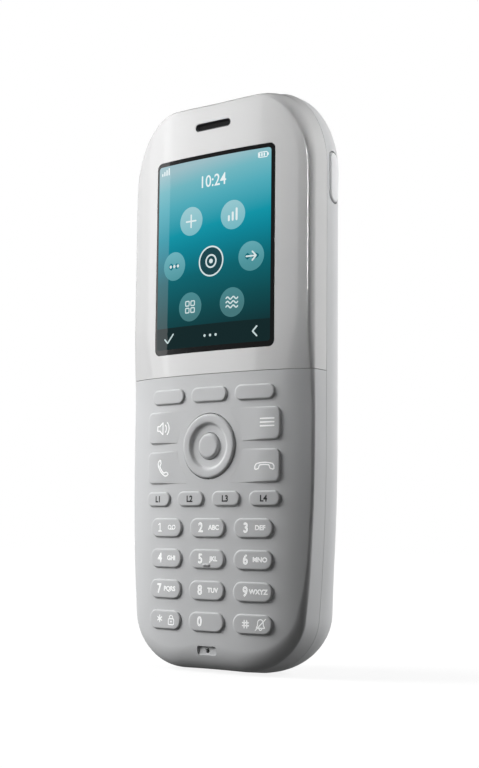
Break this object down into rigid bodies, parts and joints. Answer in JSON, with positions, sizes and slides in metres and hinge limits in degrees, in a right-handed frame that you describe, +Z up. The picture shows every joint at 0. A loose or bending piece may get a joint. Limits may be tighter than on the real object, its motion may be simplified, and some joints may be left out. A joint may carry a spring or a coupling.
{
  "type": "cordless ip handset",
  "caption": "Upright cordless telephone handset with a glossy display half, a matte keypad half, push keys and a rocking navigation ring.",
  "frame": {"origin": "centre of the bounding box's foot, on the flat lower end that the handset stands on", "axes": "+Z up the handset's length towards the earpiece, -Y the way the keys and display face, +X to the viewer's right"},
  "size_m": [0.0584, 0.0232, 0.1488],
  "materials": {
    "matte_shell": "fine matte moulded texture",
    "gloss_shell": "high gloss",
    "key_plastic": "satin, rounded keys",
    "clear_window": "polished clear",
    "display_glass": "lit colour display",
    "dark_plastic": "matte",
    "white_plastic": "matte",
    "silicone": "matte soft",
    "circuit_board": "solder mask",
    "battery_case": "plain wrap",
    "sounder_metal": "stamped",
    "plated_metal": "plated",
    "screw_steel": "zinc plated"
  },
  "bodies": {
    "housing": {"keypad_cover": "matte_shell", "back_housing": "matte_shell", "battery_door": "matte_shell", "display_cover": "gloss_shell", "display_lens": "clear_window", "earpiece_mesh": "dark_plastic", "lcd_module": "display_glass", "lcd_holder": "white_plastic", "earpiece_receiver": "sounder_metal", "loudspeaker": "sounder_metal", "microphone": "plated_metal", "microphone_boot": "silicone", "main_board": "circuit_board", "keypad_mat": "silicone", "side_switch": "dark_plastic", "vibration_motor": "screw_steel", "antenna": "plated_metal", "battery_pack": "battery_case", "battery_contacts": "dark_plastic", "charge_contact_left": "plated_metal", "charge_contact_right": "plated_metal", "housing_seal": "silicone", "housing_screw_1": "screw_steel", "housing_screw_2": "screw_steel", "housing_screw_3": "screw_steel", "housing_screw_4": "screw_steel"},
    "dial_key_star": {"dial_key_star": "key_plastic"},
    "dial_key_0": {"dial_key_0": "key_plastic"},
    "dial_key_hash": {"dial_key_hash": "key_plastic"},
    "dial_key_1": {"dial_key_1": "key_plastic"},
    "dial_key_2": {"dial_key_2": "key_plastic"},
    "dial_key_3": {"dial_key_3": "key_plastic"},
    "dial_key_4": {"dial_key_4": "key_plastic"},
    "dial_key_5": {"dial_key_5": "key_plastic"},
    "dial_key_6": {"dial_key_6": "key_plastic"},
    "dial_key_7": {"dial_key_7": "key_plastic"},
    "dial_key_8": {"dial_key_8": "key_plastic"},
    "dial_key_9": {"dial_key_9": "key_plastic"},
    "line_key_1": {"line_key_1": "key_plastic"},
    "line_key_2": {"line_key_2": "key_plastic"},
    "line_key_3": {"line_key_3": "key_plastic"},
    "line_key_4": {"line_key_4": "key_plastic"},
    "soft_key_left": {"soft_key_left": "key_plastic"},
    "soft_key_middle": {"soft_key_middle": "key_plastic"},
    "soft_key_right": {"soft_key_right": "key_plastic"},
    "speaker_key": {"speaker_key": "key_plastic"},
    "call_key": {"call_key": "key_plastic"},
    "menu_key": {"menu_key": "key_plastic"},
    "end_key": {"end_key": "key_plastic"},
    "select_key": {"select_key": "key_plastic"},
    "nav_ring": {"nav_ring": "key_plastic"},
    "nav_actuator": {"nav_actuator": "dark_plastic"},
    "side_button": {"side_button": "key_plastic"}
  },
  "joints": [
    {"name": "dial_key_star_press", "type": "slide", "parent": "housing", "child": "dial_key_star", "axis": [0, 1, 0], "range_m": [0, 0.0005], "stiffness_N_per_m": 2400},
    {"name": "dial_key_0_press", "type": "slide", "parent": "housing", "child": "dial_key_0", "axis": [0, 1, 0], "range_m": [0, 0.0005], "stiffness_N_per_m": 2400},
    {"name": "dial_key_hash_press", "type": "slide", "parent": "housing", "child": "dial_key_hash", "axis": [0, 1, 0], "range_m": [0, 0.0005], "stiffness_N_per_m": 2400},
    {"name": "dial_key_1_press", "type": "slide", "parent": "housing", "child": "dial_key_1", "axis": [0, 1, 0], "range_m": [0, 0.0005], "stiffness_N_per_m": 2400},
    {"name": "dial_key_2_press", "type": "slide", "parent": "housing", "child": "dial_key_2", "axis": [0, 1, 0], "range_m": [0, 0.0005], "stiffness_N_per_m": 2400},
    {"name": "dial_key_3_press", "type": "slide", "parent": "housing", "child": "dial_key_3", "axis": [0, 1, 0], "range_m": [0, 0.0005], "stiffness_N_per_m": 2400},
    {"name": "dial_key_4_press", "type": "slide", "parent": "housing", "child": "dial_key_4", "axis": [0, 1, 0], "range_m": [0, 0.0005], "stiffness_N_per_m": 2400},
    {"name": "dial_key_5_press", "type": "slide", "parent": "housing", "child": "dial_key_5", "axis": [0, 1, 0], "range_m": [0, 0.0005], "stiffness_N_per_m": 2400},
    {"name": "dial_key_6_press", "type": "slide", "parent": "housing", "child": "dial_key_6", "axis": [0, 1, 0], "range_m": [0, 0.0005], "stiffness_N_per_m": 2400},
    {"name": "dial_key_7_press", "type": "slide", "parent": "housing", "child": "dial_key_7", "axis": [0, 1, 0], "range_m": [0, 0.0005], "stiffness_N_per_m": 2400},
    {"name": "dial_key_8_press", "type": "slide", "parent": "housing", "child": "dial_key_8", "axis": [0, 1, 0], "range_m": [0, 0.0005], "stiffness_N_per_m": 2400},
    {"name": "dial_key_9_press", "type": "slide", "parent": "housing", "child": "dial_key_9", "axis": [0, 1, 0], "range_m": [0, 0.0005], "stiffness_N_per_m": 2400},
    {"name": "line_key_1_press", "type": "slide", "parent": "housing", "child": "line_key_1", "axis": [0, 1, 0], "range_m": [0, 0.0005], "stiffness_N_per_m": 2400},
    {"name": "line_key_2_press", "type": "slide", "parent": "housing", "child": "line_key_2", "axis": [0, 1, 0], "range_m": [0, 0.0005], "stiffness_N_per_m": 2400},
    {"name": "line_key_3_press", "type": "slide", "parent": "housing", "child": "line_key_3", "axis": [0, 1, 0], "range_m": [0, 0.0005], "stiffness_N_per_m": 2400},
    {"name": "line_key_4_press", "type": "slide", "parent": "housing", "child": "line_key_4", "axis": [0, 1, 0], "range_m": [0, 0.0005], "stiffness_N_per_m": 2400},
    {"name": "soft_key_left_press", "type": "slide", "parent": "housing", "child": "soft_key_left", "axis": [0, 1, 0], "range_m": [0, 0.0005], "stiffness_N_per_m": 2400},
    {"name": "soft_key_middle_press", "type": "slide", "parent": "housing", "child": "soft_key_middle", "axis": [0, 1, 0], "range_m": [0, 0.0005], "stiffness_N_per_m": 2400},
    {"name": "soft_key_right_press", "type": "slide", "parent": "housing", "child": "soft_key_right", "axis": [0, 1, 0], "range_m": [0, 0.0005], "stiffness_N_per_m": 2400},
    {"name": "speaker_key_press", "type": "slide", "parent": "housing", "child": "speaker_key", "axis": [0, 1, 0], "range_m": [0, 0.0005], "stiffness_N_per_m": 2400},
    {"name": "call_key_press", "type": "slide", "parent": "housing", "child": "call_key", "axis": [0, 1, 0], "range_m": [0, 0.0005], "stiffness_N_per_m": 2400},
    {"name": "menu_key_press", "type": "slide", "parent": "housing", "child": "menu_key", "axis": [0, 1, 0], "range_m": [0, 0.0005], "stiffness_N_per_m": 2400},
    {"name": "end_key_press", "type": "slide", "parent": "housing", "child": "end_key", "axis": [0, 1, 0], "range_m": [0, 0.0005], "stiffness_N_per_m": 2400},
    {"name": "select_key_press", "type": "slide", "parent": "housing", "child": "select_key", "axis": [0, 1, 0], "range_m": [0, 0.0005], "stiffness_N_per_m": 2400},
    {"name": "side_button_press", "type": "slide", "parent": "housing", "child": "side_button", "axis": [-1, 0, 0], "range_m": [0, 0.0005], "stiffness_N_per_m": 3600},
    {"name": "nav_up_down", "type": "hinge", "parent": "housing", "child": "nav_actuator", "pos_m": [0, -0.0067, 0.0566], "axis": [1, 0, 0], "range_deg": [-2, 2], "stiffness_Nm_per_rad": 0.26},
    {"name": "nav_left_right", "type": "hinge", "parent": "nav_actuator", "child": "nav_ring", "pos_m": [0, -0.0067, 0.0566], "axis": [0, 0, 1], "range_deg": [-2, 2], "stiffness_Nm_per_rad": 0.26}
  ]
}
